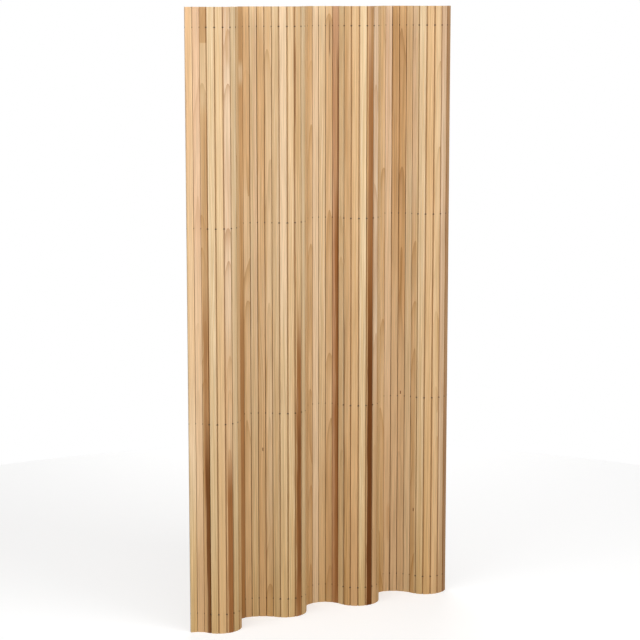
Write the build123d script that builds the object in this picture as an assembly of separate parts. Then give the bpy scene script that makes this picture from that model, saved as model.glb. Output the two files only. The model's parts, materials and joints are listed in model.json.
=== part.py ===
from build123d import *
import math
import os

# Free-standing slatted screen. Narrow upright wooden slats are threaded side by side on four
# steel cables. The long edges of each slat are planed to a shallow ridge, so that neighbours
# meet ridge to ridge at mid thickness and roll on each other like the parts of a hinge.
# Millimetres. +Z up, +X along the screen's mean line, -Y the side the screen is looked at from.
# The origin is on the floor, under the middle of the footprint.

# Slats
SCREEN_HEIGHT = 1500.0
SLAT_WIDTH = 18.2
SLAT_THICKNESS = 8.0
RIDGE_GAP = 0.3
LARGEST_BEND = 32.0
ARRIS = 0.4

# Cables, and the cross-holes that they run in. There are hundreds of holes and cable bends,
# so each is drawn with a few flats, its corners on the round size.
CABLE_DIAMETER = 2.0
CABLE_PLAY = 0.5
CABLE_ROWS = 4
ROW_MARGIN = 47.0
FLAT_COUNT = 8

# Ferrules crimped on the cable ends, each in a recess in the outer edge of an end slat
FERRULE_DIAMETER = 4.4
FERRULE_LENGTH = 7.0
FERRULE_PLAY = 0.3
CRIMP_PLAY = 0.02
RECESS_DEPTH = 7.5

# How the screen stands, in degrees, seen from above. A turn to the left is positive. From the
# left end on, the hinges come in groups, and all the hinges of a group turn by the same angle.
FIRST_SLAT_ANGLE = -17.0
HINGE_COUNTS = [2, 7, 4, 4, 6, 8, 8, 4, 4, 6]
HINGE_ANGLES = [-23.0, 21.0, -23.5, -11.0, 21.0, -19.0, 20.0, -25.0, -13.0, 21.0]

PITCH = SLAT_WIDTH + RIDGE_GAP
RIDGE_HEIGHT = SLAT_THICKNESS / 2 * math.tan(math.radians(LARGEST_BEND / 2))
FACE_END = SLAT_WIDTH / 2 - RIDGE_HEIGHT
HOLE_DIAMETER = CABLE_DIAMETER + 2 * CABLE_PLAY
HINGE_TURNS = [angle for count, angle in zip(HINGE_COUNTS, HINGE_ANGLES) for _ in range(count)]
SLAT_COUNT = len(HINGE_TURNS) + 1


def row_heights():
    """Height of each cable above the floor, from the top one down, evenly spaced."""
    spacing = (SCREEN_HEIGHT - 2 * ROW_MARGIN) / (CABLE_ROWS - 1)
    return [SCREEN_HEIGHT - ROW_MARGIN - row * spacing for row in range(CABLE_ROWS)]


def slat_section(square_left=False, square_right=False):
    """Cross-section of a slat, with its ridges to the left and right, or a square outer edge."""
    half_thickness = SLAT_THICKNESS / 2
    right = [(FACE_END, -half_thickness), (FACE_END, half_thickness)]
    left = [(-FACE_END, half_thickness), (-FACE_END, -half_thickness)]
    if not square_right:
        right.insert(1, (SLAT_WIDTH / 2, 0))
    if not square_left:
        left.insert(1, (-SLAT_WIDTH / 2, 0))
    outline = make_face(Polyline(*right, *left, close=True))
    arrises = [corner for corner in outline.vertices() if abs(corner.Y) > half_thickness / 2]
    return chamfer(arrises, ARRIS)


def flatted_bar(diameter, length):
    """A bar along a slat's width, centred, with flats round it and corners on its diameter."""
    section = Plane.YZ * RegularPolygon(diameter / 2, FLAT_COUNT)
    return extrude(section, length / 2, both=True)


def slat(square_left=False, square_right=False):
    """One upright slat, centred on Z, with a cross-hole for each cable from edge to edge."""
    body = extrude(slat_section(square_left, square_right), SCREEN_HEIGHT)
    for height in row_heights():
        body -= Pos(0, 0, height) * flatted_bar(HOLE_DIAMETER, 2 * SLAT_WIDTH)
        for square, side in ((square_left, -1), (square_right, 1)):
            if square:
                body -= recess(side, height)
    return body


def recess(side, height):
    """The space that the ferrule at one end of a cable takes in an end slat's outer edge."""
    middle = side * (FACE_END - RECESS_DEPTH / 2)
    return Pos(middle, 0, height) * flatted_bar(FERRULE_DIAMETER + 2 * FERRULE_PLAY, RECESS_DEPTH)


def ferrule_middle(side):
    """Place of a ferrule's middle along an end slat, seated on the floor of its recess."""
    return side * (FACE_END - RECESS_DEPTH + FERRULE_LENGTH / 2)


def ferrules(side):
    """The four ferrules of one end slat, each a sleeve round the end of its cable."""
    sleeve = flatted_bar(FERRULE_DIAMETER, FERRULE_LENGTH)
    sleeve -= flatted_bar(CABLE_DIAMETER + 2 * CRIMP_PLAY, 2 * FERRULE_LENGTH)
    return [Pos(ferrule_middle(side), 0, height) * sleeve for height in row_heights()]


def slat_directions():
    """Direction of each slat in degrees from +X."""
    directions = [FIRST_SLAT_ANGLE]
    for turn in HINGE_TURNS:
        directions.append(directions[-1] + turn)
    return directions


def slat_places():
    """Place of each slat on the floor, with the footprint's middle at the origin."""
    places = []
    start = Vector(0, 0, 0)
    for direction in slat_directions():
        step = Vector(PITCH, 0, 0).rotate(Axis.Z, direction)
        places.append(Location(start + step * 0.5, (0, 0, direction)))
        start = start + step
    corners = [place * Pos(corner) for place in places for corner in footprint_corners()]
    xs = [corner.position.X for corner in corners]
    ys = [corner.position.Y for corner in corners]
    middle = Pos(-(min(xs) + max(xs)) / 2, -(min(ys) + max(ys)) / 2, 0)
    return [middle * place for place in places]


def footprint_corners():
    """Outermost points of a slat's section, its ridges and the ends of its flat faces."""
    corners = []
    for side in (-1, 1):
        corners.append(Vector(side * SLAT_WIDTH / 2, 0, 0))
        for face in (-1, 1):
            corners.append(Vector(side * (FACE_END - ARRIS), face * SLAT_THICKNESS / 2, 0))
    return corners


def cable_route(places, height):
    """Points of a cable's path: its two ends, and the hinge between each slat and the next."""
    end = FACE_END - RECESS_DEPTH + FERRULE_LENGTH
    stops = [(places[0], -end)]
    stops += [(place, PITCH / 2) for place, turn in zip(places, HINGE_TURNS) if turn]
    stops.append((places[-1], end))
    return [(place * Pos(along, 0, height)).position for place, along in stops]


def cable(places, height):
    """One cable from end to end, straight through each slat and bent at each hinge."""
    points = cable_route(places, height)
    start = Plane(origin=points[0], x_dir=(0, 0, 1), z_dir=points[1] - points[0])
    section = start * RegularPolygon(CABLE_DIAMETER / 2, FLAT_COUNT)
    return sweep(section, path=Polyline(*points), transition=Transition.RIGHT)


def save(shape, name):
    """Writes a sub-part under its own name."""
    export_step(shape, f"parts/{name}.step")


os.makedirs("parts", exist_ok=True)

places = slat_places()
inner_slat = slat()
for number, place in enumerate(places, start=1):
    if number == 1:
        piece = slat(square_left=True)
    elif number == SLAT_COUNT:
        piece = slat(square_right=True)
    else:
        piece = inner_slat
    save(place * piece, f"slat_{number:02d}")

for row, height in enumerate(row_heights(), start=1):
    save(cable(places, height), f"cable_{row}")

save(Compound([places[0] * sleeve for sleeve in ferrules(-1)]), "ferrules_left")
save(Compound([places[-1] * sleeve for sleeve in ferrules(1)]), "ferrules_right")
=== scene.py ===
import json
import math

import bmesh
import bpy
from mathutils import Matrix, Vector

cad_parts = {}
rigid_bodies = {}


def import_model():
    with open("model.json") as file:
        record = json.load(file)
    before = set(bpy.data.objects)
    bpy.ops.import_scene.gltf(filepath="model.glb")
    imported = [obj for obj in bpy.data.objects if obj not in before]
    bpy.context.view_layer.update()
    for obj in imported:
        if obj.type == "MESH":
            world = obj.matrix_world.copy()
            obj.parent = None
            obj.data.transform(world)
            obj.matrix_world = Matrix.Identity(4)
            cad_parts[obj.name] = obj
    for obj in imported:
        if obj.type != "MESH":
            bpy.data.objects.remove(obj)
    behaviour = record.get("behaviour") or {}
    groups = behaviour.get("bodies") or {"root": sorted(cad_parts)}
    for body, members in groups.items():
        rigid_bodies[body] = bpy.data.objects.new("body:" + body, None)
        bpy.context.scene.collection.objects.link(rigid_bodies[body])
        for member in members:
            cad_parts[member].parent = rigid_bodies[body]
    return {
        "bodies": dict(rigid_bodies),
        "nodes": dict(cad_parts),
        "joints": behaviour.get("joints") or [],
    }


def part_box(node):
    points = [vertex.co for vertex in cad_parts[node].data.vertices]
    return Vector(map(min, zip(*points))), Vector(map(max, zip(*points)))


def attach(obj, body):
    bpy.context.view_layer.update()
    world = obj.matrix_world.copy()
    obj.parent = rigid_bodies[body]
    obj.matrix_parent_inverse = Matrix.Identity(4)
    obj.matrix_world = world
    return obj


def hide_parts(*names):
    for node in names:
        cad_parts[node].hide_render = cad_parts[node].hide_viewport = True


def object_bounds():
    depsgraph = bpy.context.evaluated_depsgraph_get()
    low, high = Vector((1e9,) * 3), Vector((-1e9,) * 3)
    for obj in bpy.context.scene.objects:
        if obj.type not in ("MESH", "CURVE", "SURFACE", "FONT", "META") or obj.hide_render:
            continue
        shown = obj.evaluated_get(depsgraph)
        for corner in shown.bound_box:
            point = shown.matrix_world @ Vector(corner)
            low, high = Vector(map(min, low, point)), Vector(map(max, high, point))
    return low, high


bl_info = {
    "name": "Slatted screen",
    "version": (1, 0, 0),
    "blender": (4, 5, 0),
    "location": "View3D > Sidebar > Slatted screen",
    "description": "Finishes a free-standing screen of pine slats strung on steel cables",
    "category": "Object",
}

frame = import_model()


def colour(hex_code):
    """A written sRGB colour as the linear values that a shader takes."""
    parts = [int(hex_code[i:i + 2], 16) / 255 for i in (0, 2, 4)]
    linear = [c / 12.92 if c <= 0.04045 else ((c + 0.055) / 1.055) ** 2.4 for c in parts]
    return (*linear, 1.0)


def add(tree, kind, links=None, **settings):
    """Adds a node, with its settings, and a value or another node's output for its inputs."""
    made = tree.nodes.new(kind)
    for name, value in settings.items():
        setattr(made, name, value)
    for name, value in (links or {}).items():
        if isinstance(value, bpy.types.NodeSocket):
            tree.links.new(value, made.inputs[name])
        else:
            made.inputs[name].default_value = value
    return made


def new_group(name, inputs, outputs):
    """An empty node group with its sockets, its input and its output node."""
    tree = bpy.data.node_groups.new(name, "ShaderNodeTree")
    for socket, kind in inputs:
        tree.interface.new_socket(socket, in_out="INPUT", socket_type="NodeSocket" + kind)
    for socket, kind in outputs:
        tree.interface.new_socket(socket, in_out="OUTPUT", socket_type="NodeSocket" + kind)
    return tree, add(tree, "NodeGroupInput").outputs, add(tree, "NodeGroupOutput")


def new_material(name):
    """An empty node material with a Principled shader on its output."""
    material = bpy.data.materials.new(name)
    material.use_nodes = True
    tree = material.node_tree
    tree.nodes.clear()
    shader = add(tree, "ShaderNodeBsdfPrincipled")
    add(tree, "ShaderNodeOutputMaterial", {"Surface": shader.outputs["BSDF"]})
    return material, tree, shader


# ---------------------------------------------------------------------------------------------
# Where the slats stand, in metres and in plan, from the frame's hinges

SLAT_COUNT = sum(name.startswith("slat_") for name in frame["bodies"])
SLAT_NAMES = [f"slat_{number:02d}" for number in range(1, SLAT_COUNT + 1)]
CABLE_NODES = sorted(name for name in frame["nodes"] if name.startswith("cable_"))
HINGES = {joint["name"]: Vector(joint["pos_m"][:2]) for joint in frame["joints"]}
PITCH = (HINGES["hinge_02"] - HINGES["hinge_01"]).length
SCREEN_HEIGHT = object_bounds()[1][2]
ROWS = [sum(corner.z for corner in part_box(node)) / 2 for node in CABLE_NODES]


def outer_end(name, hinge):
    """Where an end slat's next hinge would be: its far edge lies evenly about its middle."""
    points = [v.co.xy for v in frame["nodes"][name].data.vertices]
    reach = max((point - hinge).length for point in points)
    far = [point for point in points if (point - hinge).length > reach - 0.0003]
    middle = sum(far, Vector((0, 0))) / len(far)
    return hinge + (middle - hinge).normalized() * PITCH


def slat_ends():
    """The hinge lines at both ends of every slat, from the left end of the screen on."""
    points = [HINGES[f"hinge_{number:02d}"] for number in range(1, SLAT_COUNT)]
    points.insert(0, outer_end(SLAT_NAMES[0], points[0]))
    points.append(outer_end(SLAT_NAMES[-1], points[-1]))
    return list(zip(points[:-1], points[1:]))


SLAT_ENDS = slat_ends()


def slat_angle(number):
    start, end = SLAT_ENDS[number]
    return math.atan2(end.y - start.y, end.x - start.x)


# ---------------------------------------------------------------------------------------------
# What each slat is cut from. Tones are for the sapwood: pale wood, deeper bands, ring lines

TONES = {
    "cream": ("EDD5AF", "E0C297", "C59C68"),
    "blush": ("EACDAB", "DEB994", "C1946C"),
    "honey": ("E6C59A", "D8B180", "B68850"),
    "straw": ("E0C596", "D1B17E", "AE8C53"),
    "tan": ("D7AE7D", "C69A66", "A07242"),
    "clay": ("DDB48F", "CD9F79", "A8724A"),
    "umber": ("C59A6A", "B08252", "845630"),
}

# Where the heart of the log lies from the slat's middle, in mm across and through, how far it
# leans through the thickness in mm for each mm of height, the rings' width in mm, and how
# strongly the rings show
SAWINGS = {
    "quarter": ((-150.0, 12.0), 0.000, 2.6, 0.55),
    "rift": ((60.0, 70.0), 0.006, 3.4, 0.60),
    "plain": ((3.0, 34.0), 0.012, 3.6, 0.62),
    "flame": ((-1.0, 16.0), 0.024, 4.2, 0.75),
}

# What a streak's numbers are, after its tint: mm from the slat's middle at its top and at its
# foot, width and softness of the edge, lowest and highest mm of height, length of the fading
# ends, strength and raggedness. A width of 40 mm covers the whole slat.
STREAK_SIZES = ("At Top", "At Foot", "Width", "Soft", "Low", "High", "Fade", "Strength", "Ragged")

# Tone, sawing and streaks of each slat from the left end on
SLATS = [
    ("cream", "rift", [("clay", -4, -4, 7, 8, 1150, 1500, 200, 0.7, 3),
                       ("blush", 2, 0, 7, 6, 500, 1000, 300, 0.6, 2),
                       ("tan", 0, 0, 40, 2, 700, 1500, 300, 0.45, 0)]),
    ("blush", "plain", [("clay", 0, 0, 40, 2, 0, 1500, 100, 0.45, 0),
                        ("honey", 0, 0, 40, 2, 0, 700, 300, 0.5, 2),
                        ("umber", 0, 0, 40, 2, 0, 130, 250, 0.6, 2)]),
    ("honey", "flame", [
        ("cream", 0, 0, 40, 2, 1290, 1426, 50, 0.3, 0),
        ("umber", 0, 0, 40, 2, 1419, 1500, 3, 0.85, 0),
        ("umber", 3, 3, 12, 5, 0, 1180, 120, 0.7, 3),
        ("chestnut", 1, 4, 10, 5, 230, 700, 200, 0.6, 3),
        ("burnt", -2, 7, 9, 3, 0, 360, 200, 0.85, 1.5),
        ("tan", -6, -4, 7, 4, 0, 260, 120, 0.6, 2)]),
    ("cream", "quarter", []),
    ("cream", "quarter", [("tan", 0, 0, 40, 2, 0, 1500, 100, 0.3, 0),
                          ("tan", 1, -1, 12, 6, 0, 700, 250, 0.5, 3)]),
    ("blush", "flame", [
        ("umber", 2, -4, 5, 3, 1390, 1500, 40, 0.5, 3),
        ("tan", 0, 0, 40, 6, 0, 620, 200, 0.6, 3),
        ("chestnut", 3, 3, 12, 6, 0, 330, 160, 0.95, 3)]),
    ("cream", "quarter", [("honey", -3, -3, 6, 5, 500, 1000, 300, 0.5, 2)]),
    ("honey", "rift", []),
    ("honey", "quarter", []),
    ("blush", "plain", []),
    ("straw", "rift", [("chestnut", -4, -2, 6, 5, 200, 900, 300, 0.5, 3)]),
    ("cream", "quarter", []),
    ("tan", "rift", [
        ("umber", 0, 0, 40, 6, 1240, 1500, 60, 0.6, 3),
        ("cream", 0, 0, 40, 2, 1335, 1350, 30, 0.5, 0),
        ("chestnut", 1, 1, 14, 6, 0, 650, 250, 0.55, 3)]),
    ("honey", "plain", [
        ("tan", -1, 0, 14, 6, 1160, 1500, 120, 0.8, 4),
        ("tan", 0, 0, 40, 2, 0, 250, 300, 0.7, 0)]),
    ("cream", "quarter", [("clay", 4, 4, 4, 3, 800, 1400, 300, 0.4, 2)]),
    ("honey", "rift", [
        ("tan", 0, 3, 8, 6, 1150, 1400, 80, 0.7, 4),
        ("tan", 0, 0, 40, 2, 0, 160, 300, 0.5, 0),
        ("burnt", 2, 2, 2, 1, 422, 428, 2, 0.8, 0)]),
    ("honey", "plain", [("cream", 2, 2, 8, 6, 300, 1200, 300, 0.4, 2)]),
    ("cream", "quarter", []),
    ("cream", "quarter", [("blush", 0, 0, 10, 8, 900, 1500, 300, 0.6, 2)]),
    ("cream", "rift", [("tan", 0, 0, 40, 2, 600, 1500, 400, 0.4, 0),
                       ("chestnut", 7, 8, 2, 1, 0, 1500, 100, 0.5, 1)]),
    ("honey", "rift", [
        ("chestnut", -8, -8, 2, 1, 1250, 1380, 60, 0.6, 1),
        ("chestnut", 7, 1, 13, 5, 60, 620, 220, 0.95, 3),
        ("burnt", 3, 1, 6, 4, 130, 430, 100, 0.6, 3)]),
    ("cream", "rift", []),
    ("honey", "plain", []),
    ("cream", "quarter", [("clay", 5, 4, 3, 3, 300, 1200, 300, 0.5, 2)]),
    ("blush", "rift", []),
    ("honey", "quarter", []),
    ("honey", "plain", [
        ("tan", 0, 0, 40, 4, 1330, 1500, 120, 0.6, 2),
        ("umber", 0, 0, 20, 8, 0, 400, 300, 0.3, 3)]),
    ("cream", "quarter", [("blush", 0, 0, 40, 2, 0, 1500, 100, 0.5, 0)]),
    ("cream", "rift", [("tan", 2, 0, 8, 6, 0, 300, 200, 0.5, 3)]),
    ("honey", "plain", [
        ("burnt", 2, 2, 2, 1, 1400, 1450, 30, 0.6, 1),
        ("umber", -2, 3, 8, 6, 0, 220, 200, 0.5, 3)]),
    ("clay", "rift", [
        ("umber", 5, 4, 8, 5, 0, 1300, 150, 0.45, 3),
        ("chestnut", 6, 4, 6, 5, 60, 900, 260, 0.85, 3),
        ("burnt", 7, 8, 2.5, 1.5, 240, 1330, 120, 0.7, 1)]),
    ("cream", "plain", [("straw", 0, 0, 40, 2, 0, 1500, 100, 0.4, 0)]),
    ("honey", "quarter", [
        ("umber", -5, -5, 7, 5, 1160, 1370, 60, 0.6, 2),
        ("burnt", -7, -7, 2, 1.5, 0, 700, 60, 0.6, 1)]),
    ("honey", "quarter", [
        ("tan", 0, 0, 40, 4, 0, 330, 300, 0.8, 2),
        ("umber", 0, 0, 30, 6, 0, 190, 120, 0.6, 4)]),
    ("cream", "quarter", []),
    ("umber", "rift", [
        ("clay", -6, -6, 8, 4, 900, 1500, 100, 0.5, 2),
        ("chestnut", 1, 0, 12, 6, 0, 1250, 250, 0.8, 2),
        ("chestnut", 0, 0, 40, 4, 0, 700, 400, 0.8, 2),
        ("burnt", 0, 0, 30, 6, 0, 560, 420, 1.0, 2),
        ("tan", -8, -8, 2.5, 1, 0, 1500, 100, 0.8, 1)]),
    ("blush", "plain", [("tan", 0, 0, 40, 2, 0, 350, 400, 0.6, 0),
                        ("umber", 4, 4, 12, 4, 0, 280, 300, 0.7, 2)]),
    ("honey", "rift", []),
    ("cream", "quarter", []),
    ("tan", "plain", []),
    ("straw", "quarter", [("chestnut", -3, -3, 5, 4, 100, 800, 260, 0.5, 3)]),
    ("umber", "rift", [
        ("tan", 0, 0, 40, 2, 450, 1500, 200, 0.35, 0),
        ("blush", 0, 0, 10, 6, 400, 760, 200, 0.5, 2),
        ("burnt", 0, 0, 40, 4, 0, 260, 260, 0.4, 2)]),
    ("honey", "plain", []),
    ("blush", "rift", [
        ("honey", 0, 0, 40, 2, 0, 900, 400, 0.6, 0),
        ("tan", 0, 0, 40, 2, 0, 300, 300, 0.6, 0),
        ("umber", 6, 6, 6, 3, 150, 215, 30, 0.7, 4),
        ("burnt", 8, 8, 1.6, 1, 0, 130, 60, 0.6, 1)]),
    ("tan", "quarter", [("honey", 0, 0, 40, 2, 0, 700, 400, 0.6, 0)]),
    ("tan", "plain", [
        ("honey", 0, 0, 40, 2, 0, 600, 200, 0.5, 0),
        ("burnt", -1, -1, 2, 1, 522, 528, 2, 0.8, 0)]),
    ("cream", "quarter", [
        ("tan", 0, 0, 40, 2, 1250, 1500, 200, 0.6, 0),
        ("honey", 0, 0, 40, 2, 0, 400, 200, 0.6, 0)]),
    ("honey", "plain", [
        ("blush", 0, 0, 14, 2, 1100, 1500, 200, 0.6, 1),
        ("straw", 8, 8, 3, 2, 0, 1500, 100, 0.6, 1),
        ("burnt", 2.5, 2.5, 2, 1, 219, 225, 2, 0.8, 0)]),
    ("cream", "quarter", []),
    ("honey", "rift", [("tan", 0, 0, 40, 2, 0, 1500, 100, 0.3, 0)]),
    ("honey", "plain", [
        ("honey", -2, -2, 8, 4, 0, 1500, 100, 0.5, 2),
        ("tan", 0, 0, 40, 4, 0, 250, 300, 0.7, 1)]),
    ("blush", "quarter", []),
    ("umber", "rift", []),
    ("honey", "plain", []),
]
HEARTWOOD = {"chestnut": "966030", "burnt": "663607"}

# Painted shade on every slat: a brown line along its edges where the groove between slats lies, and
# a dark patch at the mouths of the cable holes. Where each starts and is full, in mm from its
# middle, and how strongly it shows. A mouth is also this many mm high to either side of its cable.
RIDGE_SHADE, RIDGE_START, RIDGE_FULL, RIDGE_STRENGTH = "8C6236", 7.7, 8.3, 0.35
MOUTH_SHADE, MOUTH_START, MOUTH_FULL, MOUTH_STRENGTH = "3E2714", 7.2, 8.2, 0.8
MOUTH_HALF = 1.5

# Width and length in mm of what the wood's noises draw
BAND_SIZE = (6.0, 300.0)
DRIFT_SIZE = (60.0, 330.0)
FIBRE_SIZE = (2.0, 130.0)
RAGGED_SIZE = (2.5, 110.0)

# How far the heart wanders, in mm across and through, and how unevenly wide the rings are
DRIFT_REACH = (16, 12, 0)
RING_LUCK = 1.6


# ---------------------------------------------------------------------------------------------
# Finishes

def drawn_out(tree, place, size, **inputs):
    """Noise that runs along a slat, by its width and length in mm."""
    width, length = size
    scaled = add(tree, "ShaderNodeMapping",
                 {"Vector": place, "Scale": (1 / width, 1 / width, 1 / length)}).outputs[0]
    return add(tree, "ShaderNodeTexNoise", {"Vector": scaled, "Scale": 1.0, **inputs}).outputs


def sawn_wood(foot_shade):
    """Node group: colour, roughness and height of planed pine, by the place in a slat in mm, with
    shade painted in towards the foot.
    """
    tree, given, result = new_group(
        "sawn wood",
        [("Place", "Vector"), ("Board", "Vector"), ("Pale", "Color"), ("Deep", "Color"),
         ("Line", "Color"), ("Heart", "Vector"), ("Lean", "Vector"), ("Ring Width", "Float"),
         ("Ring Strength", "Float")],
        [("Colour", "Color"), ("Roughness", "Float"), ("Height", "Float")])
    # every slat has its own part of the noise
    cut = add(tree, "ShaderNodeVectorMath",
              {0: given["Place"], 1: given["Board"]}, operation="ADD").outputs[0]
    height = add(tree, "ShaderNodeSeparateXYZ", {0: given["Place"]}).outputs["Z"]

    # slow bands of deeper sapwood
    band = drawn_out(tree, cut, BAND_SIZE, Detail=2.0, Roughness=0.55)[0]
    band = add(tree, "ShaderNodeMapRange",
               {"Value": band, "From Min": 0.34, "From Max": 0.66}).outputs[0]
    sapwood = add(tree, "ShaderNodeMix", {0: band, 6: given["Pale"], 7: given["Deep"]},
                  data_type="RGBA").outputs[2]

    # rings about a heart that leans and wanders a few mm over the height of the slat
    drift = drawn_out(tree, cut, DRIFT_SIZE, Detail=1.0)[1]
    drift = add(tree, "ShaderNodeVectorMath", {0: drift, 1: (0.5, 0.5, 0.5)},
                operation="SUBTRACT").outputs[0]
    across = add(tree, "ShaderNodeVectorMath", {0: given["Place"], 1: (1, 1, 0)},
                 operation="MULTIPLY").outputs[0]
    across = add(tree, "ShaderNodeVectorMath", {0: drift, 1: DRIFT_REACH, 2: across},
                 operation="MULTIPLY_ADD").outputs[0]
    heart = add(tree, "ShaderNodeVectorMath", {0: given["Lean"], 1: height, 2: given["Heart"]},
                operation="MULTIPLY_ADD").outputs[0]
    radius = add(tree, "ShaderNodeVectorMath", {0: across, 1: heart},
                 operation="DISTANCE").outputs["Value"]
    years = add(tree, "ShaderNodeMath", {0: radius, 1: given["Ring Width"]},
                operation="DIVIDE").outputs[0]
    luck = add(tree, "ShaderNodeTexNoise", {"W": years, "Scale": 0.7, "Detail": 0.0},
               noise_dimensions="1D").outputs[0]
    years = add(tree, "ShaderNodeMath", {0: luck, 1: RING_LUCK, 2: years},
                operation="MULTIPLY_ADD").outputs[0]
    season = add(tree, "ShaderNodeMath", {0: years}, operation="FRACT").outputs[0]
    latewood = add(tree, "ShaderNodeMath", {0: season, 1: 2.6}, operation="POWER").outputs[0]
    line = add(tree, "ShaderNodeMath", {0: latewood, 1: given["Ring Strength"]},
               operation="MULTIPLY").outputs[0]
    ringed = add(tree, "ShaderNodeMix", {0: line, 6: sapwood, 7: given["Line"]},
                 data_type="RGBA").outputs[2]

    # fibres, drawn 2 mm wide, some forty times the real ones, so that they show
    fibre = drawn_out(tree, cut, FIBRE_SIZE, Detail=3.0, Roughness=0.6)[0]
    shade = add(tree, "ShaderNodeMapRange", {"Value": fibre, "From Min": 0.3, "From Max": 0.7,
                                             "To Min": 0.80, "To Max": 1.12}).outputs[0]

    # painted shade: the wood is made darker and yellower towards the foot, standing in for the
    # light that falls off towards the floor
    low = add(tree, "ShaderNodeMapRange",
              {"Value": height, "From Min": SCREEN_HEIGHT * 1000, "From Max": 0.0}).outputs[0]
    low = add(tree, "ShaderNodeMath", {0: low, 1: 3.0}, operation="POWER").outputs[0]
    painted_shade = add(tree, "ShaderNodeMix", {0: low, 6: (1, 1, 1, 1), 7: foot_shade},
               data_type="RGBA").outputs[2]
    foot_shaded = add(tree, "ShaderNodeVectorMath", {0: ringed, 1: painted_shade},
                  operation="MULTIPLY").outputs[0]
    fibred = add(tree, "ShaderNodeVectorMath", {0: foot_shaded, "Scale": shade},
                 operation="SCALE").outputs[0]
    tree.links.new(fibred, result.inputs["Colour"])
    roughness = add(tree, "ShaderNodeMapRange",
                    {"Value": fibre, "To Min": 0.40, "To Max": 0.56}).outputs[0]
    tree.links.new(roughness, result.inputs["Roughness"])
    relief = add(tree, "ShaderNodeMath", {0: latewood, 1: 0.5, 2: fibre},
                 operation="MULTIPLY_ADD").outputs[0]
    tree.links.new(relief, result.inputs["Height"])
    return tree


def streak():
    """Node group: a streak of another wood colour that runs along a slat."""
    tree, given, result = new_group(
        "streak",
        [("Colour", "Color"), ("Place", "Vector"), ("Board", "Vector"), ("Tint", "Color"),
         *((size, "Float") for size in STREAK_SIZES)],
        [("Colour", "Color")])
    place = add(tree, "ShaderNodeSeparateXYZ", {0: given["Place"]}).outputs
    cut = add(tree, "ShaderNodeVectorMath",
              {0: given["Place"], 1: given["Board"]}, operation="ADD").outputs[0]
    edge = drawn_out(tree, cut, RAGGED_SIZE, Detail=2.0)[0]
    grain = add(tree, "ShaderNodeMapRange", {"Value": edge, "From Min": 0.3, "From Max": 0.7,
                                             "To Min": 0.78, "To Max": 1.16}).outputs[0]
    tint = add(tree, "ShaderNodeVectorMath", {0: given["Tint"], "Scale": grain},
               operation="SCALE").outputs[0]
    edge = add(tree, "ShaderNodeMapRange",
               {"Value": edge, "From Min": 0.3, "From Max": 0.7, "To Min": -1.0}).outputs[0]
    sway = add(tree, "ShaderNodeMath", {0: edge, 1: given["Ragged"], 2: place["X"]},
               operation="MULTIPLY_ADD").outputs[0]
    middle = add(tree, "ShaderNodeMapRange",
                 {"Value": place["Z"], "From Min": 0.0, "From Max": SCREEN_HEIGHT * 1000,
                  "To Min": given["At Foot"], "To Max": given["At Top"]}).outputs[0]
    off = add(tree, "ShaderNodeMath", {0: sway, 1: middle}, operation="SUBTRACT").outputs[0]
    off = add(tree, "ShaderNodeMath", {0: off}, operation="ABSOLUTE").outputs[0]
    half = add(tree, "ShaderNodeMath", {0: given["Width"], 1: 0.5},
               operation="MULTIPLY").outputs[0]
    rim = add(tree, "ShaderNodeMath", {0: half, 1: given["Soft"]}, operation="ADD").outputs[0]
    side = add(tree, "ShaderNodeMapRange",
               {"Value": off, "From Min": rim, "From Max": half},
               interpolation_type="SMOOTHSTEP").outputs[0]
    foot = add(tree, "ShaderNodeMath", {0: given["Low"], 1: given["Fade"]},
               operation="SUBTRACT").outputs[0]
    rise = add(tree, "ShaderNodeMapRange",
               {"Value": place["Z"], "From Min": foot, "From Max": given["Low"]},
               interpolation_type="SMOOTHSTEP").outputs[0]
    top = add(tree, "ShaderNodeMath", {0: given["High"], 1: given["Fade"]},
              operation="ADD").outputs[0]
    fall = add(tree, "ShaderNodeMapRange",
               {"Value": place["Z"], "From Min": top, "From Max": given["High"]},
               interpolation_type="SMOOTHSTEP").outputs[0]
    span = add(tree, "ShaderNodeMath", {0: rise, 1: fall}, operation="MULTIPLY").outputs[0]
    mask = add(tree, "ShaderNodeMath", {0: side, 1: span}, operation="MULTIPLY").outputs[0]
    mask = add(tree, "ShaderNodeMath", {0: mask, 1: given["Strength"]},
               operation="MULTIPLY").outputs[0]
    tinted = add(tree, "ShaderNodeMix", {0: mask, 6: given["Colour"], 7: tint},
                 data_type="RGBA").outputs[2]
    tree.links.new(tinted, result.inputs["Colour"])
    return tree


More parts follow.
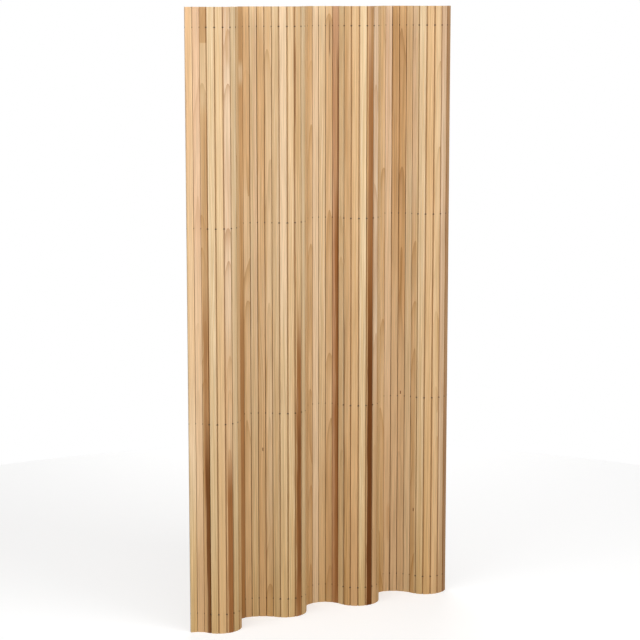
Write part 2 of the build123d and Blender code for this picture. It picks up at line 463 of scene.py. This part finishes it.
def planed_pine(number, wood, strip):
    """Material of one slat: solid pine, planed and sanded, under a clear matt lacquer. It gives the
    eye long straight fibres, ring lines and, here and there, a reddish heartwood streak, with shade
    painted along its edges, at the mouths of its cable holes and towards its foot."""
    tone, sawing, streaks = SLATS[number]
    pale, deep, line = TONES[tone]
    (heart_across, heart_through), lean, ring_width, ring_strength = SAWINGS[sawing]
    side = 1 if number % 3 else -1
    material, tree, shader = new_material(f"planed lacquered pine {number + 1:02d}")
    start, end = SLAT_ENDS[number]
    middle = (start + end) / 2
    place = add(tree, "ShaderNodeTexCoord").outputs["Object"]
    place = add(tree, "ShaderNodeMapping",
                {"Vector": place, "Location": (middle.x, middle.y, 0),
                 "Rotation": (0, 0, slat_angle(number)), "Scale": (0.001, 0.001, 0.001)},
                vector_type="TEXTURE").outputs[0]
    board = (number * 137.7 % 991, number * 71.3 % 613, number * 2111.9 % 9973)
    body = add(tree, "ShaderNodeGroup", {
        "Place": place, "Board": board, "Pale": colour(pale), "Deep": colour(deep),
        "Line": colour(line), "Heart": (heart_across * side, heart_through, 0),
        "Lean": (0, lean, 0), "Ring Width": ring_width, "Ring Strength": ring_strength},
        node_tree=wood)
    tinted = body.outputs["Colour"]
    for at, (tint, *sizes) in enumerate(streaks):
        tint = HEARTWOOD[tint] if tint in HEARTWOOD else TONES[tint][0]
        mark = add(tree, "ShaderNodeGroup", {
            "Colour": tinted, "Place": place, "Board": (board[0] + 31 * at, *board[1:]),
            "Tint": colour(tint), **dict(zip(STREAK_SIZES, sizes))}, node_tree=strip)
        tinted = mark.outputs["Colour"]
    # painted shade: a brown line along both edges of each slat, on the planed ridges, where the
    # groove between neighbouring slats lies in shade
    across = add(tree, "ShaderNodeSeparateXYZ", {0: place}).outputs["X"]
    across = add(tree, "ShaderNodeMath", {0: across}, operation="ABSOLUTE").outputs[0]
    ridge = add(tree, "ShaderNodeMapRange",
                {"Value": across, "From Min": RIDGE_START, "From Max": RIDGE_FULL,
                 "To Max": RIDGE_STRENGTH}).outputs[0]
    lined = add(tree, "ShaderNodeMix", {0: ridge, 6: tinted, 7: colour(RIDGE_SHADE)},
                data_type="RGBA").outputs[2]
    # painted shade: a dark patch at the mouth of each cable hole, where the hole's recess lies in
    # shade
    height = add(tree, "ShaderNodeSeparateXYZ", {0: place}).outputs["Z"]
    lowest = min(ROWS) * 1000
    spacing = (max(ROWS) * 1000 - lowest) / (len(ROWS) - 1)
    off = add(tree, "ShaderNodeMath",
              {0: height, 1: lowest + spacing / 2, 2: lowest - spacing / 2},
              operation="WRAP").outputs[0]
    off = add(tree, "ShaderNodeMath", {0: off, 1: lowest, 2: MOUTH_HALF},
              operation="COMPARE").outputs[0]
    mouth = add(tree, "ShaderNodeMapRange",
                {"Value": across, "From Min": MOUTH_START, "From Max": MOUTH_FULL,
                 "To Max": MOUTH_STRENGTH}).outputs[0]
    mouth = add(tree, "ShaderNodeMath", {0: mouth, 1: off}, operation="MULTIPLY").outputs[0]
    lined = add(tree, "ShaderNodeMix", {0: mouth, 6: lined, 7: colour(MOUTH_SHADE)},
                data_type="RGBA").outputs[2]
    tree.links.new(lined, shader.inputs["Base Color"])
    tree.links.new(body.outputs["Roughness"], shader.inputs["Roughness"])
    shader.inputs["Specular IOR Level"].default_value = 0.15
    bump = add(tree, "ShaderNodeBump", {"Height": body.outputs["Height"], "Strength": 0.25,
                                        "Distance": 0.00015})
    tree.links.new(bump.outputs["Normal"], shader.inputs["Normal"])
    return material


def stranded_steel():
    """Material of the cables: fine bare steel wires laid in a spiral, drawn as slanting lines, with
    shade painted darker into the grooves between the wires."""
    material, tree, shader = new_material("stranded steel wire")
    shader.inputs["Metallic"].default_value = 1.0
    shader.inputs["Roughness"].default_value = 0.34
    place = add(tree, "ShaderNodeUVMap", uv_map="strands").outputs[0]
    lay = add(tree, "ShaderNodeTexWave", {"Vector": place, "Scale": 1.0}, wave_type="BANDS",
              bands_direction="DIAGONAL").outputs["Fac"]
    # painted shade: the steel is coloured darker where the grooves between the strands lie, as the
    # bump is low there
    steel = add(tree, "ShaderNodeMix", {0: lay, 6: colour("35322F"), 7: colour("7A756E")},
                data_type="RGBA").outputs[2]
    tree.links.new(steel, shader.inputs["Base Color"])
    bump = add(tree, "ShaderNodeBump", {"Height": lay, "Strength": 0.7, "Distance": 0.0002})
    tree.links.new(bump.outputs["Normal"], shader.inputs["Normal"])
    return material


def pressed_aluminium():
    """Material of the ferrules: drawn aluminium tube, dulled and scuffed by the crimping tool."""
    material, tree, shader = new_material("pressed aluminium")
    shader.inputs["Metallic"].default_value = 1.0
    place = add(tree, "ShaderNodeTexCoord").outputs["Object"]
    scuffs = add(tree, "ShaderNodeTexNoise",
                 {"Vector": place, "Scale": 2500.0, "Detail": 3.0}).outputs[0]
    rough = add(tree, "ShaderNodeMapRange",
                {"Value": scuffs, "To Min": 0.30, "To Max": 0.55}).outputs[0]
    tree.links.new(rough, shader.inputs["Roughness"])
    metal = add(tree, "ShaderNodeMix", {0: scuffs, 6: colour("A3A4A6"), 7: colour("C6C7C8")},
                data_type="RGBA").outputs[2]
    tree.links.new(metal, shader.inputs["Base Color"])
    return material


# ---------------------------------------------------------------------------------------------
# Turned pieces

# A ridge's crest: where it stands on the ridge and half its width there, in metres
CREST_ROOT = 0.0090
CREST_HALF = 0.00035

# Sides of what is turned
CABLE_SIDES = 12
FERRULE_SIDES = 24

# A crimped sleeve: the radius of its pressed waists and of its rims against its own, where the
# waists' middles lie and how far their floors and slopes reach, as parts of its length, and its
# chamfer in metres
WAIST_RADIUS = 0.86
RIM_RADIUS = 0.93
WAIST_MIDDLES = (0.32, 0.68)
WAIST_FLOOR = 0.09
WAIST_REACH = 0.14
CHAMFER = 0.0003

# Strands of a cable and the length in metres in which they go round once. The UV takes 1/pi for
# one band of the wave texture.
STRANDS = 6
LAY_LENGTH = 0.013
BAND = 0.3183


def turned(bm, profile, steps):
    """Spins a profile of (along, radius) in metres about its own line."""
    points = [bm.verts.new((along, radius, 0)) for along, radius in profile]
    edges = [bm.edges.new(pair) for pair in zip(points, points[1:])]
    bmesh.ops.spin(bm, geom=points + edges, cent=(0, 0, 0), axis=(1, 0, 0),
                   angle=2 * math.pi, steps=steps, use_merge=True)
    bmesh.ops.remove_doubles(bm, verts=[v for v in bm.verts if not v.tag], dist=1e-6)
    fresh = [v for v in bm.verts if not v.tag]
    faces = {face for v in fresh for face in v.link_faces}
    bmesh.ops.recalc_face_normals(bm, faces=list(faces))
    return fresh, list(faces)


def settle(bm, fresh, place):
    """Moves fresh vertices into place and marks them as done."""
    bmesh.ops.transform(bm, matrix=place, verts=fresh)
    for vert in fresh:
        vert.tag = True


def new_piece(name, bm, material, body, smooth=True):
    """Makes a piece of a finished bmesh, that moves with a slat."""
    mesh = bpy.data.meshes.new(name)
    bm.to_mesh(mesh)
    bm.free()
    for polygon in mesh.polygons:
        polygon.use_smooth = smooth
    mesh.materials.append(material)
    piece = bpy.data.objects.new(name, mesh)
    bpy.context.scene.collection.objects.link(piece)
    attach(piece, body)
    return piece


def along_slat(number, height):
    """Matrix from a slat's own place, X along its width from its middle, to the frame."""
    start, end = SLAT_ENDS[number]
    middle = (start + end) / 2
    turn = Matrix.Rotation(slat_angle(number), 4, "Z")
    return Matrix.Translation((middle.x, middle.y, height)) @ turn


# ---------------------------------------------------------------------------------------------
# What a user would change

class SlattedScreenWood(bpy.types.PropertyGroup):
    # painted shade: how dark and yellow the wood is made at the foot, in place of light falling off
    # downward
    foot_shade: bpy.props.FloatVectorProperty(
        name="Foot tone", description="Tone of the wood at the foot, against that at the top",
        subtype="COLOR", size=4, min=0, max=1, default=(0.82, 0.73, 0.55, 1.0))


class SlattedScreenFittings(bpy.types.PropertyGroup):
    cable_diameter: bpy.props.FloatProperty(
        name="Cable diameter", description="Outside diameter of a steel cable",
        subtype="DISTANCE", unit="LENGTH", default=0.002)
    ferrule_diameter: bpy.props.FloatProperty(
        name="Ferrule diameter", description="Outside diameter of a crimped sleeve",
        subtype="DISTANCE", unit="LENGTH", default=0.0044)


class SlattedScreenStage(bpy.types.PropertyGroup):
    azimuth: bpy.props.FloatProperty(
        name="Azimuth", description="Side that the camera stands on, from the front to the right",
        subtype="ANGLE", unit="ROTATION", default=math.radians(-32.67))
    pitch: bpy.props.FloatProperty(
        name="Pitch", description="How far the camera looks down",
        subtype="ANGLE", unit="ROTATION", default=math.radians(9.1045))
    distance: bpy.props.FloatProperty(
        name="Distance", description="Distance of the camera from the middle, over the floor",
        subtype="DISTANCE", unit="LENGTH", default=4.9988)
    height: bpy.props.FloatProperty(
        name="Height", description="Height of the camera above the floor",
        subtype="DISTANCE", unit="LENGTH", default=1.5366)
    lens: bpy.props.FloatProperty(
        name="Lens", description="Focal length for a sensor 36 mm wide, in mm",
        default=2054.63 * 36 / 640)
    key_power: bpy.props.FloatProperty(
        name="Key light", description="Power of the three large soft lamps before the screen",
        subtype="POWER", unit="POWER", default=159.0)
    back_power: bpy.props.FloatProperty(
        name="Back light", description="Power of the weaker lamp behind the screen",
        subtype="POWER", unit="POWER", default=62.0)
    ambience: bpy.props.FloatProperty(
        name="Ambience", description="Strength of the even light from all round",
        default=0.11)


# ---------------------------------------------------------------------------------------------
# Operators

class FinishSlats(bpy.types.Operator):
    """Gives every slat its own planed and lacquered pine"""
    bl_idname = "slatted_screen.finish_slats"
    bl_label = "Slats"

    def execute(self, context):
        wood = sawn_wood(context.scene.slatted_screen_wood.foot_shade)
        strip = streak()
        for number, name in enumerate(SLAT_NAMES):
            mesh = frame["nodes"][name].data
            material = planed_pine(number, wood, strip)
            if not mesh.materials:
                mesh.materials.append(material)
            for at in range(len(mesh.materials)):
                mesh.materials[at] = material
        return {"FINISHED"}


class CloseRidges(bpy.types.Operator):
    """Adds the crest of every ridge, so that neighbouring slats meet on their hinge line and no
    light shows between them"""
    bl_idname = "slatted_screen.close_ridges"
    bl_label = "Ridge crests"

    def execute(self, context):
        for number, name in enumerate(SLAT_NAMES):
            bm = bmesh.new()
            for side in (-1, 1):
                if (number, side) in ((0, -1), (SLAT_COUNT - 1, 1)):
                    continue
                crest = [(side * CREST_ROOT, -CREST_HALF, 0), (side * PITCH / 2, 0, 0),
                         (side * CREST_ROOT, CREST_HALF, 0)]
                face = bm.faces.new([bm.verts.new(point) for point in crest])
                raised = bmesh.ops.extrude_face_region(bm, geom=[face])["geom"]
                top = [v for v in raised if isinstance(v, bmesh.types.BMVert)]
                bmesh.ops.translate(bm, vec=(0, 0, SCREEN_HEIGHT), verts=top)
            bmesh.ops.recalc_face_normals(bm, faces=bm.faces[:])
            bmesh.ops.transform(bm, matrix=along_slat(number, 0), verts=bm.verts[:])
            material = frame["nodes"][name].data.materials[0]
            new_piece(f"ridge_crests_{number + 1:02d}", bm, material, name, False)
        return {"FINISHED"}


class LayCables(bpy.types.Operator):
    """Lays the four steel cables through the slats, in one length for each slat, so that they
    bend at every hinge"""
    bl_idname = "slatted_screen.lay_cables"
    bl_label = "Cables"

    def execute(self, context):
        radius = context.scene.slatted_screen_fittings.cable_diameter / 2
        steel = stranded_steel()
        _, face = ferrule_span()
        for number, name in enumerate(SLAT_NAMES):
            bm = bmesh.new()
            uv = bm.loops.layers.uv.new("strands")
            # the end slats' lengths stop at the face of their ferrules
            left = -face if number == 0 else -PITCH / 2
            right = face if number == SLAT_COUNT - 1 else PITCH / 2
            profile = [(left, 0.0), (left, radius), (right, radius), (right, 0.0)]
            if number < SLAT_COUNT - 1:
                profile[3:] = [(right + radius * 0.7, radius * 0.7), (right + radius, 0.0)]
            for height in ROWS:
                fresh, faces = turned(bm, profile, CABLE_SIDES)
                lay_strands(faces, uv)
                settle(bm, fresh, along_slat(number, height))
            piece = new_piece(f"cable_lengths_{number + 1:02d}", bm, steel, name)
            if number == 0:
                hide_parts(*CABLE_NODES)
        return {"FINISHED"}


def ferrule_span():
    """How far the ferrules' ends lie from the middle of an end slat: the inner, the outer."""
    start, end = SLAT_ENDS[0]
    middle, way = (start + end) / 2, (start - end).normalized()
    along = [(v.co.xy - middle).dot(way) for v in frame["nodes"]["ferrules_left"].data.vertices]
    return min(along), max(along)


def lay_strands(faces, uv):
    """Unrolls the surface of a cable, so that its strands run round it in a spiral."""
    for face in faces:
        middle = face.calc_center_median()
        facing = math.atan2(middle.z, middle.y)
        for loop in face.loops:
            point = loop.vert.co
            angle = math.atan2(point.z, point.y)
            angle += 2 * math.pi * round((facing - angle) / (2 * math.pi))
            turn = angle / (2 * math.pi) * STRANDS
            loop[uv].uv = (turn * BAND, point.x / LAY_LENGTH * STRANDS * BAND)


class CrimpFerrules(bpy.types.Operator):
    """Puts a crimped aluminium sleeve on each cable end, in the outer edges of the end slats"""
    bl_idname = "slatted_screen.crimp_ferrules"
    bl_label = "Ferrules"

    def execute(self, context):
        outer = context.scene.slatted_screen_fittings.ferrule_diameter / 2
        bore = context.scene.slatted_screen_fittings.cable_diameter / 2
        metal = pressed_aluminium()
        root, face = ferrule_span()
        length = face - root
        # two pressed waists between three full rings
        waist, rim = outer * WAIST_RADIUS, outer * RIM_RADIUS
        profile = [(0, bore), (0, rim), (CHAMFER, outer)]
        for middle in WAIST_MIDDLES:
            profile += [(length * (middle + reach), radius) for reach, radius in (
                (-WAIST_REACH, outer), (-WAIST_FLOOR, waist),
                (WAIST_FLOOR, waist), (WAIST_REACH, outer))]
        profile += [(length - CHAMFER, outer), (length, rim), (length, bore), (0, bore)]
        for number, node, side in ((0, "ferrules_left", -1), (SLAT_COUNT - 1, "ferrules_right", 1)):
            bm = bmesh.new()
            for height in ROWS:
                fresh, faces = turned(bm, profile, FERRULE_SIDES)
                place = along_slat(number, height)
                if side < 0:
                    place = place @ Matrix.Rotation(math.pi, 4, "Z")
                settle(bm, fresh, place @ Matrix.Translation((root, 0, 0)))
            sleeves = new_piece(f"crimped_{node}", bm, metal, SLAT_NAMES[number])
            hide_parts(node)
        return {"FINISHED"}


# The floor: radius in metres, how much light it sends back, and how much it glows to the camera
FLOOR_RADIUS = 1.9
FLOOR_SHADE = 0.55
FLOOR_GLOW = 0.53

# The lamps before the screen: name, share of the key light, size, place and aim in metres
KEY_LAMPS = [
    ("left key", 0.33, 2.2, (-3.0, -0.9, 2.2), (0, 0, 0.9)),
    ("front key", 0.25, 2.6, (-1.6, -2.5, 2.2), (0, 0, 0.9)),
    ("right key", 0.42, 2.2, (0.8, -3.0, 2.2), (0, 0, 0.9)),
]
BACK_LAMP = (2.0, (1.6, 2.6, 2.2), (0, 0, 0.9))


class SetStage(bpy.types.Operator):
    """Sets the floor, the studio light and the camera"""
    bl_idname = "slatted_screen.set_stage"
    bl_label = "Stage"

    def execute(self, context):
        stage = context.scene.slatted_screen_stage
        scene = context.scene
        scene.view_settings.view_transform = "Standard"

        # pale floor, which the camera and reflections see as nearly white, with its shadow kept
        bm = bmesh.new()
        bmesh.ops.create_circle(bm, cap_ends=True, segments=64, radius=FLOOR_RADIUS)
        mesh = bpy.data.meshes.new("floor")
        bm.to_mesh(mesh)
        bm.free()
        floor = bpy.data.objects.new("floor", mesh)
        scene.collection.objects.link(floor)
        material, tree, shader = new_material("matt white studio floor")
        mesh.materials.append(material)
        shader.inputs["Base Color"].default_value = (FLOOR_SHADE, FLOOR_SHADE, FLOOR_SHADE, 1)
        shader.inputs["Roughness"].default_value = 0.9
        shader.inputs["Specular IOR Level"].default_value = 0.0
        seen = seen_directly(tree)
        glow = add(tree, "ShaderNodeMath", {0: seen, 1: FLOOR_GLOW},
                   operation="MULTIPLY").outputs[0]
        shader.inputs["Emission Color"].default_value = (1, 1, 1, 1)
        tree.links.new(glow, shader.inputs["Emission Strength"])

        world = bpy.data.worlds.new("studio")
        scene.world = world
        world.use_nodes = True
        tree = world.node_tree
        tree.nodes.clear()
        even = add(tree, "ShaderNodeBackground",
                   {"Color": (1.0, 0.98, 0.95, 1), "Strength": stage.ambience}).outputs[0]
        white = add(tree, "ShaderNodeBackground",
                    {"Color": (1, 1, 1, 1), "Strength": 1.0}).outputs[0]
        both = add(tree, "ShaderNodeMixShader", {0: seen_directly(tree), 1: even, 2: white})
        add(tree, "ShaderNodeOutputWorld", {"Surface": both.outputs[0]})

        lamps = [(name, stage.key_power * share, *rest) for name, share, *rest in KEY_LAMPS]
        for name, power, size, place, aim in (*lamps, ("back", stage.back_power, *BACK_LAMP)):
            lamp = bpy.data.lights.new(name, "AREA")
            lamp.energy = power
            lamp.size = size
            holder = bpy.data.objects.new(name, lamp)
            holder.location = place
            way = Vector(aim) - Vector(place)
            holder.rotation_euler = way.to_track_quat("-Z", "Y").to_euler()
            scene.collection.objects.link(holder)

        lens = bpy.data.cameras.new("camera")
        lens.lens = stage.lens
        lens.sensor_width = 36
        lens.clip_end = 100
        camera = bpy.data.objects.new("camera", lens)
        camera.location = (stage.distance * math.sin(stage.azimuth),
                           -stage.distance * math.cos(stage.azimuth), stage.height)
        camera.rotation_euler = (math.pi / 2 - stage.pitch, 0, stage.azimuth)
        scene.collection.objects.link(camera)
        scene.camera = camera
        return {"FINISHED"}


def seen_directly(tree):
    """1 for what the camera, a reflection or a refraction sees, 0 for light that falls."""
    path = add(tree, "ShaderNodeLightPath").outputs
    seen = add(tree, "ShaderNodeMath", {0: path["Is Camera Ray"], 1: path["Is Glossy Ray"]},
               operation="ADD").outputs[0]
    seen = add(tree, "ShaderNodeMath", {0: seen, 1: path["Is Transmission Ray"]},
               operation="ADD", use_clamp=True).outputs[0]
    return seen


class SlattedScreenPanel(bpy.types.Panel):
    bl_label = "Slatted screen"
    bl_idname = "VIEW3D_PT_slatted_screen"
    bl_space_type = "VIEW_3D"
    bl_region_type = "UI"
    bl_category = "Slatted screen"

    def draw(self, context):
        scene = context.scene
        for operator, group in ((FinishSlats, scene.slatted_screen_wood),
                                (CloseRidges, None),
                                (LayCables, scene.slatted_screen_fittings),
                                (CrimpFerrules, None),
                                (SetStage, scene.slatted_screen_stage)):
            box = self.layout.box()
            for name in (group.__annotations__ if group else ()):
                box.prop(group, name)
            box.operator(operator.bl_idname)


GROUPS = {"slatted_screen_wood": SlattedScreenWood,
          "slatted_screen_fittings": SlattedScreenFittings,
          "slatted_screen_stage": SlattedScreenStage}
CLASSES = [*GROUPS.values(), FinishSlats, CloseRidges, LayCables, CrimpFerrules, SetStage,
           SlattedScreenPanel]


def register():
    for made in CLASSES:
        bpy.utils.register_class(made)
    for name, group in GROUPS.items():
        setattr(bpy.types.Scene, name, bpy.props.PointerProperty(type=group))


def unregister():
    for name in GROUPS:
        delattr(bpy.types.Scene, name)
    for made in reversed(CLASSES):
        bpy.utils.unregister_class(made)


def main():
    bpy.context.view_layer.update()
    register()
    bpy.ops.slatted_screen.finish_slats()
    bpy.ops.slatted_screen.close_ridges()
    bpy.ops.slatted_screen.lay_cables()
    bpy.ops.slatted_screen.crimp_ferrules()
    bpy.ops.slatted_screen.set_stage()


if __name__ == "__main__":
    main()
